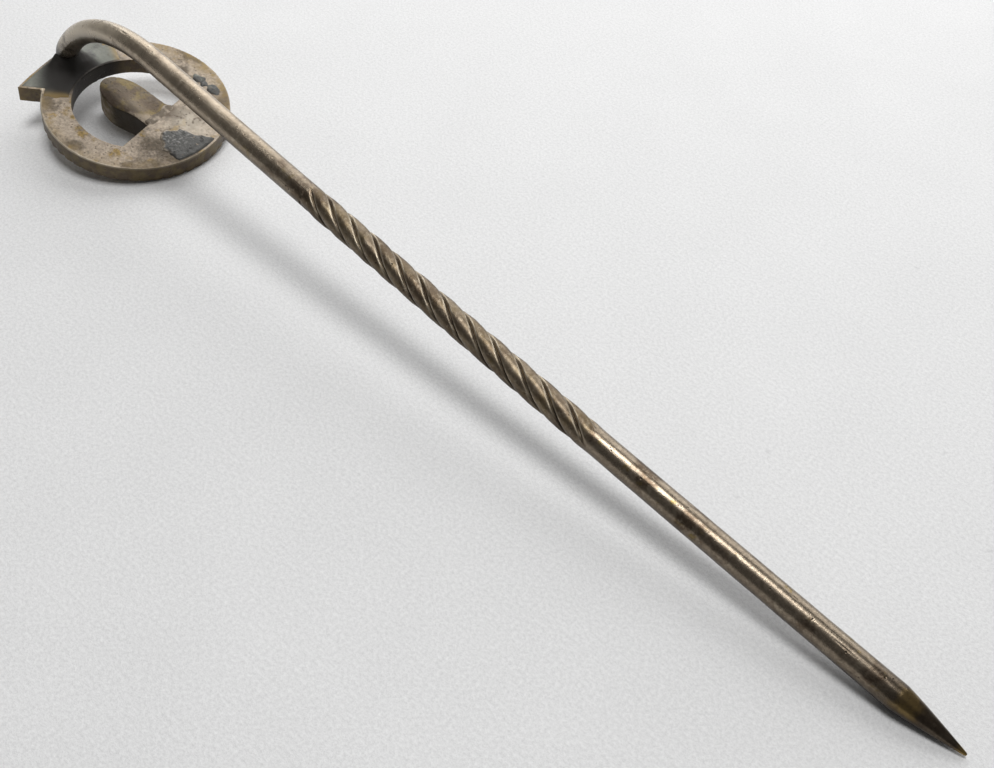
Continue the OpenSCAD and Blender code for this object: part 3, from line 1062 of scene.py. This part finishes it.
def finish_surface(tree, shader, tint, rough, height, millimetres):
    """Gives the shader its colour, its roughness and a bump of the given depth."""
    raised = node(tree, "ShaderNodeBump")
    raised.inputs["Distance"].default_value = millimetres * MM
    raised.inputs["Strength"].default_value = 1.0
    tree.links.new(height, raised.inputs["Height"])
    tree.links.new(raised.outputs[0], shader.inputs["Normal"])
    tree.links.new(tint, shader.inputs["Base Color"])
    feed(tree, rough, shader.inputs["Roughness"])


# ---------------------------------------------------------------- materials

def wire_material(c):
    """Drawn silver: rubbed at the hook under a painted highlight, painted shade below, dark in the
    grooves, black at the foot, bronze at the point.
    """
    made, tree, shader, place = new_material("Tarnished silver wire")
    mottle = use_group(tree, "Mottle", Place=place, Clouds_per_metre=620.0, First=c.warm,
                       Second=c.brown, Third=c.olive, Second_share=0.50, Third_share=0.26, Speckle=0.5)
    lines = use_group(tree, "Scratches", Drawn_place=mask(tree, "drawn", "Vector"), Per_millimetre=2.2)
    pits = use_group(tree, "Pits", Place=place, Per_metre=5200.0, Share=0.30)
    groove, crest, nick, reach, twist, under = (
        mask(tree, n) for n in ("groove", "crest", "nick", "reach", "twist", "under"))
    patchy = spread(tree, noise_texture(tree, place, 1500.0, 3.0), 0.40, 0.62)
    cloudy = spread(tree, noise_texture(tree, place, 700.0, 4.0), 0.36, 0.64)
    grain = spread(tree, noise_texture(tree, place, 4200.0, 3.0, 0.7), 0.52, 0.68)
    tint = mottle.outputs["Colour"]
    # Rubbed wear near the head, lightened further as a painted highlight.
    wear_and_light = times(tree, spread(tree, reach, 0.42, 0.20), scaled(tree, cloudy, 0.45, 0.48))
    tint = stain(tree, tint, wear_and_light, c.sand)
    dirt = times(tree, spread(tree, reach, 0.30, 0.06), spread(
        tree, noise_texture(tree, place, 900.0, 5.0, 0.65), 0.53, 0.63))
    # Painted highlight over the hook's top; the metal is also made less metallic there.
    hook = times(tree, spread(tree, reach, 0.18, 0.10), scaled(tree, patchy, 0.30, 0.65))
    tint = stain(tree, tint, hook, c.bright)
    tint = stain(tree, tint, times(tree, twist, scaled(tree, patchy, 0.35, 0.15)), c.olive)
    tint = stain(tree, tint, times(tree, twist, scaled(tree, cloudy, 0.60, 0.18)), c.brown)
    tint = stain(tree, tint, times(tree, lines.outputs["Scratch"], 0.12), c.bright)
    # Bright grain in the rubbed part: partly worn silver, partly painted highlight glints.
    tint = stain(tree, tint, times(tree, grain, scaled(tree, wear_and_light, 0.5, 0.20)), c.bright)
    tint = stain(tree, tint, times(tree, dirt, 0.7), c.brown)
    tint = stain(tree, tint, times(tree, pits.outputs["Pit"], 0.75), c.dark)
    tint = stain(tree, tint, times(tree, crest, scaled(tree, patchy, 0.60, 0.25)), c.bright)
    tint = stain(tree, tint, spread(tree, groove, 0.40, 1.0), c.black)
    tint = stain(tree, tint, times(tree, nick, 0.7), c.brown)
    # Painted shade on the underside of the wire.
    tint = stain(tree, tint, times(tree, under, scaled(tree, cloudy, 0.25, 0.70)), c.dark)
    # Black oxide at the foot, deepened with painted shade under the hook.
    foot = spread(tree, reach, 0.034, 0.014)
    tint = stain(tree, tint, times(tree, foot, 0.92), c.black)
    bronze = spread(tree, reach, 0.910, 0.955)
    tint = stain(tree, tint, times(tree, bronze, scaled(tree, cloudy, 0.25, 0.65)), c.dark)
    shoulder = times(tree, spread(tree, reach, 0.940, 0.950), spread(tree, reach, 0.968, 0.958))
    golden = times(tree, times(tree, shoulder, patchy), maths(tree, "SUBTRACT", 0.55, under), clamp=True)
    golden = maths(tree, "MAXIMUM", golden, spread(tree, reach, 0.990, 0.998))
    tint = stain(tree, tint, golden, c.gold)
    tree.links.new(scaled(tree, hook, -0.50, 0.88), shader.inputs["Metallic"])
    rough = scaled(tree, mottle.outputs["Clouds"], 0.20, 0.185)
    rough = maths(tree, "ADD", rough, times(tree, twist, 0.14))
    height = maths(tree, "ADD", pits.outputs["Height"], times(tree, lines.outputs["Lines"], 0.55))
    height = times(tree, height, scaled(tree, spread(tree, reach, 0.52, 0.60), -0.6, 1.0))
    finish_surface(tree, shader, tint, rough, height, 0.020)
    return made


def ring_material(c):
    """Pitted cast silver with golden blooms, dark walls, a pale patch that is a painted reflection, the
    wire's painted shadow, painted shade at the foot and a worn edge brightened as a painted highlight.
    """
    made, tree, shader, place = new_material("Cast silver head", metallic=0.45)
    mottle = use_group(tree, "Mottle", Place=place, Clouds_per_metre=520.0, First=c.pink,
                       Second=c.umber, Third=c.gold, Second_share=0.54, Third_share=0.36, Speckle=0.75)
    pits = use_group(tree, "Pits", Place=place, Per_metre=4300.0, Share=0.55)
    worn_and_highlight, wall, pit, pale, bloom, foot_shade, stem_shadow = (
        mask(tree, n) for n in ("worn_and_highlight", "wall", "pit", "pale", "bloom", "shade_near_foot", "stem_shadow"))
    cloudy = spread(tree, noise_texture(tree, place, 1900.0, 3.0), 0.40, 0.62)
    tint = mottle.outputs["Colour"]
    tint = stain(tree, tint, times(tree, bloom, scaled(tree, cloudy, 0.6, 0.25)), c.gold)
    # Painted reflection on a pale patch.
    tint = stain(tree, tint, times(tree, pale, scaled(tree, cloudy, -0.3, 0.95)), c.cream)
    # Painted shadow of the wire.
    tint = stain(tree, tint, times(tree, stem_shadow, scaled(tree, cloudy, 0.4, 0.5)), c.brown)
    tint = stain(tree, tint, times(tree, pits.outputs["Pit"], 0.7), c.brown)
    tint = stain(tree, tint, pit, c.brown)
    side = stain(tree, c.olive, cloudy, c.brown)
    side = stain(tree, side, scaled(tree, mottle.outputs["Clouds"], 0.5, 0.15), c.dark)
    side = stain(tree, side, mask(tree, "amber"), c.gold)
    tint = stain(tree, tint, times(tree, wall, 0.9), side)
    # Worn edge, brightened as a painted highlight.
    tint = stain(tree, tint, times(tree, worn_and_highlight, scaled(tree, cloudy, 0.35, 0.65)), c.bright)
    # Painted shade under the hook, over black oxide.
    tint = stain(tree, tint, times(tree, foot_shade, 0.95), c.black)
    rough = scaled(tree, mottle.outputs["Clouds"], 0.2, 0.38)
    rough = maths(tree, "SUBTRACT", rough, times(tree, worn_and_highlight, 0.15))
    finish_surface(tree, shader, tint, rough, pits.outputs["Height"], 0.016)
    return made


def leaf_material(c):
    """Olive-brown cast silver, pink outside the wire's painted shadow, with dark smears near its root,
    painted shadow on the walls at the root and a painted highlight on its back.
    """
    made, tree, shader, place = new_material("Cast silver leaf", metallic=0.45)
    mottle = use_group(tree, "Mottle", Place=place, Clouds_per_metre=700.0, First=c.olive,
                       Second=c.brown, Third=c.umber, Second_share=0.55, Third_share=0.50, Speckle=0.5)
    pits = use_group(tree, "Pits", Place=place, Per_metre=4600.0, Share=0.40)
    worn_and_highlight, wall, pit, wear_and_light = (mask(tree, n) for n in ("worn_and_highlight", "wall", "pit", "wear_and_light"))
    cloudy = spread(tree, noise_texture(tree, place, 1700.0, 3.0), 0.36, 0.60)
    tint = mottle.outputs["Colour"]
    # Pink outside the wire's painted shadow.
    tint = stain(tree, tint, times(tree, wear_and_light, scaled(tree, cloudy, 0.6, 0.2)), c.pink)
    smears = spread(tree, noise_texture(tree, place, 520.0, 5.0, 0.6, stretch=(0.5, 1.6, 1.0)), 0.52, 0.66)
    # Dark smears, strongest inside the painted shadow.
    tint = stain(tree, tint, times(tree, smears, scaled(tree, wear_and_light, -0.4, 0.7)), c.dark)
    tint = stain(tree, tint, times(tree, pits.outputs["Pit"], 0.7), c.black)
    tint = stain(tree, tint, pit, c.brown)
    side = stain(tree, c.pink, cloudy, c.olive)
    # Walls at the root black: painted shadow under the leaf, over black patina.
    side = stain(tree, side, scaled(tree, mask(tree, "root"), 0.9, 0.0), c.black)
    tint = stain(tree, tint, times(tree, wall, 0.9), side)
    # Painted highlight on the leaf's back.
    tint = stain(tree, tint, times(tree, worn_and_highlight, 0.25), c.sand)
    rough = scaled(tree, mottle.outputs["Clouds"], 0.2, 0.44)
    finish_surface(tree, shader, tint, rough, pits.outputs["Height"], 0.016)
    return made


def foot_solder_material(c):
    """Dull grey solder, black at the wire with oxide and painted shade, and golden where it ends."""
    made, tree, shader, place = new_material("Grey foot solder", metallic=0.15)
    mottle = use_group(tree, "Mottle", Place=place, Clouds_per_metre=650.0, First=c.verdigris,
                       Second=c.slate, Third=c.brown, Second_share=0.50, Third_share=0.22, Speckle=0.25)
    pits = use_group(tree, "Pits", Place=place, Per_metre=5200.0, Share=0.22)
    foot_shade, tide = mask(tree, "shade_near_wire"), mask(tree, "tide")
    # Black near the wire: oxide and painted shade.
    tint = stain(tree, mottle.outputs["Colour"], times(tree, foot_shade, 0.97), c.black)
    tint = stain(tree, tint, times(tree, tide, 0.85), c.gold)
    rough = scaled(tree, foot_shade, 0.28, 0.46)
    finish_surface(tree, shader, tint, rough, pits.outputs["Height"], 0.010)
    return made


def bead_material(c, name, first, second):
    """Small beads of solder in two mottled colours."""
    made, tree, shader, place = new_material(name, metallic=0.3)
    mottle = use_group(tree, "Mottle", Place=place, Clouds_per_metre=1500.0, First=first, Second=second,
                       Third=c.brown, Second_share=0.50, Third_share=0.30, Speckle=0.35)
    pits = use_group(tree, "Pits", Place=place, Per_metre=6500.0, Share=0.35)
    crusted = mask(tree, "crusted")
    crusts = times(tree, spread(tree, crusted, 0.55, 0.75), 0.4)
    tint = stain(tree, mottle.outputs["Colour"], crusts, c.black)
    rough = scaled(tree, mottle.outputs["Clouds"], 0.2, 0.42)
    finish_surface(tree, shader, tint, rough, pits.outputs["Height"], 0.012)
    return made


def crust_material(c):
    """Dark crusted solder with ash-coloured grains."""
    made, tree, shader, place = new_material("Crusted solder", metallic=0.2)
    mottle = use_group(tree, "Mottle", Place=place, Clouds_per_metre=1300.0, First=c.slate,
                       Second=c.black, Third=c.warm, Second_share=0.35, Third_share=0.22, Speckle=0.5)
    pits = use_group(tree, "Pits", Place=place, Per_metre=7000.0, Share=0.5)
    rim, grains = mask(tree, "rim"), mask(tree, "grains")
    tint = stain(tree, mottle.outputs["Colour"], times(tree, grains, 0.55), c.ash)
    tint = stain(tree, tint, times(tree, rim, 0.75), c.sand)
    rough = scaled(tree, mottle.outputs["Clouds"], 0.3, 0.35)
    finish_surface(tree, shader, tint, rough, pits.outputs["Height"], 0.02)
    return made


def floor_material(look):
    """Pale card with a fine tooth and a few specks."""
    made, tree, shader, place = new_material("Pale table")
    fine = noise_texture(tree, place, 6400.0, 3.0, 0.85)
    broad = noise_texture(tree, place, 160.0, 3.0, 0.5)
    specks = use_group(tree, "Pits", Place=place, Per_metre=1500.0, Share=0.16).outputs["Pit"]
    light = times(tree, scaled(tree, fine, 0.62, 0.69), scaled(tree, broad, 0.08, 0.96))
    light = times(tree, light, scaled(tree, specks, -0.12, 1.0))
    finish_surface(tree, shader, shade(tree, look.floor, light), 0.55, fine, 0.02)
    return made


# ---------------------------------------------------------------- operators

class PIN_OT_wire(bpy.types.Operator):
    """Make the bent, twisted and pointed pin wire"""
    bl_idname = "stickpin.wire"
    bl_label = "Pin wire"

    def execute(self, context):
        place_piece(make_wire(), "pin_wire", wire_material(context.scene.pin_colours))
        return {"FINISHED"}


class PIN_OT_ring(bpy.types.Operator):
    """Make the ring-shaped head with its filled side and its lug"""
    bl_idname = "stickpin.ring"
    bl_label = "Ring plate"

    def execute(self, context):
        place_piece(make_ring(), "ring_plate", ring_material(context.scene.pin_colours))
        return {"FINISHED"}


class PIN_OT_leaf(bpy.types.Operator):
    """Make the leaf that stands in the ring's opening"""
    bl_idname = "stickpin.leaf"
    bl_label = "Leaf"

    def execute(self, context):
        place_piece(make_leaf(), "leaf", leaf_material(context.scene.pin_colours))
        return {"FINISHED"}


class PIN_OT_solder(bpy.types.Operator):
    """Lay the solder at the foot and at the leaf, the crusted patch and the stray drops"""
    bl_idname = "stickpin.solder"
    bl_label = "Solder"

    def execute(self, context):
        c = context.scene.pin_colours
        place_piece(make_foot_solder(), "foot_solder", foot_solder_material(c))
        place_piece(make_leaf_solder(), "leaf_solder", bead_material(c, "Leaf bead", c.umber, c.pink))
        place_piece(make_patch(), "solder_patch", crust_material(c))
        place_piece(make_spots(), "solder_spots", bead_material(c, "Stray drops", c.slate, c.verdigris))
        return {"FINISHED"}


def camera_axes(look):
    """Forward, right and up of the camera."""
    a, e = look.azimuth, look.elevation
    ahead = -Vector((math.sin(a) * math.cos(e), -math.cos(a) * math.cos(e), math.sin(e)))
    level = ahead.cross(Vector((0, 0, 1))).normalized()
    upright = level.cross(ahead)
    up = upright * math.cos(look.roll) - level * math.sin(look.roll)
    return ahead, ahead.cross(up), up


def add_camera(look):
    """The camera, which looks down at the pin from the point's side."""
    ahead, right, up = camera_axes(look)
    middle_y = (CAD_LOW.y + CAD_HIGH.y) / 2
    aim = Vector((look.aim_x, middle_y - look.aim_side, CAD_LOW.z + look.aim_height))
    data = bpy.data.cameras.new("Camera")
    data.lens = look.lens
    data.sensor_width = 36.0
    data.clip_start = 0.002
    data.clip_end = 10.0
    camera = bpy.data.objects.new("Camera", data)
    camera.matrix_world = Matrix.Translation(aim - ahead * look.distance) @ Matrix(
        (right, up, -ahead)).transposed().to_4x4()
    bpy.context.scene.collection.objects.link(camera)
    bpy.context.scene.camera = camera


# Each light's place from the middle of the pin, then its width and height, in metres.
LIGHTS = {
    "Key": ((-0.008, 0.010, 0.25), (0.10, 0.10)),
    "Back": ((-0.070, 0.135, 0.09), (0.30, 0.16)),
}
TABLE_HALF = 0.9


def add_light(name, power):
    """A soft rectangular light that faces the pin."""
    offset, (width, height) = LIGHTS[name]
    data = bpy.data.lights.new(name, "AREA")
    data.shape = "RECTANGLE"
    data.size, data.size_y = width, height
    data.energy = power
    light = bpy.data.objects.new(name, data)
    light.location = (CAD_LOW + CAD_HIGH) / 2 + Vector(offset)
    light.rotation_euler = (-Vector(offset)).to_track_quat("-Z", "Y").to_euler()
    bpy.context.scene.collection.objects.link(light)


class PIN_OT_stage(bpy.types.Operator):
    """Set the floor, the lights and the camera"""
    bl_idname = "stickpin.stage"
    bl_label = "Stage"

    def execute(self, context):
        look = context.scene.pin_stage
        bm = bmesh.new()
        bmesh.ops.create_grid(bm, x_segments=8, y_segments=8, size=TABLE_HALF)
        mesh = bpy.data.meshes.new("table_top")
        bm.to_mesh(mesh)
        bm.free()
        floor = bpy.data.objects.new("table_top", mesh)
        floor.location.z = CAD_LOW.z
        context.scene.collection.objects.link(floor)
        dress(floor, floor_material(look))
        add_light("Key", look.key_power)
        add_light("Back", look.back_power)
        world = bpy.data.worlds.new("Room")
        world.use_nodes = True
        sky = world.node_tree.nodes["Background"]
        sky.inputs["Color"].default_value = (1.0, 1.0, 1.0, 1.0)
        sky.inputs["Strength"].default_value = look.sky
        context.scene.world = world
        context.scene.view_settings.view_transform = "Standard"
        add_camera(look)
        return {"FINISHED"}


class PIN_PT_panel(bpy.types.Panel):
    """Sizes, colours and steps of the stick pin"""
    bl_idname = "PIN_PT_panel"
    bl_label = "Stick pin"
    bl_space_type = "VIEW_3D"
    bl_region_type = "UI"
    bl_category = "Stick pin"

    def draw(self, context):
        for operator in OPERATORS:
            self.layout.operator(operator.bl_idname)
        for name in GROUPS:
            box = self.layout.box()
            box.label(text=name.replace("pin_", "").replace("_", " ").capitalize())
            group = getattr(context.scene, name)
            for prop in group.bl_rna.properties.keys():
                if prop not in ("rna_type", "name"):
                    box.prop(group, prop)


OPERATORS = (PIN_OT_stage, PIN_OT_wire, PIN_OT_ring, PIN_OT_leaf, PIN_OT_solder)


def register():
    for cls in (*GROUPS.values(), *OPERATORS, PIN_PT_panel):
        bpy.utils.register_class(cls)
    for name, cls in GROUPS.items():
        setattr(bpy.types.Scene, name, PointerProperty(type=cls))


def unregister():
    for name in GROUPS:
        delattr(bpy.types.Scene, name)
    for cls in reversed((*GROUPS.values(), *OPERATORS, PIN_PT_panel)):
        bpy.utils.unregister_class(cls)


def main():
    register()
    bpy.ops.stickpin.stage()
    bpy.ops.stickpin.wire()
    bpy.ops.stickpin.ring()
    bpy.ops.stickpin.leaf()
    bpy.ops.stickpin.solder()


if __name__ == "__main__":
    main()
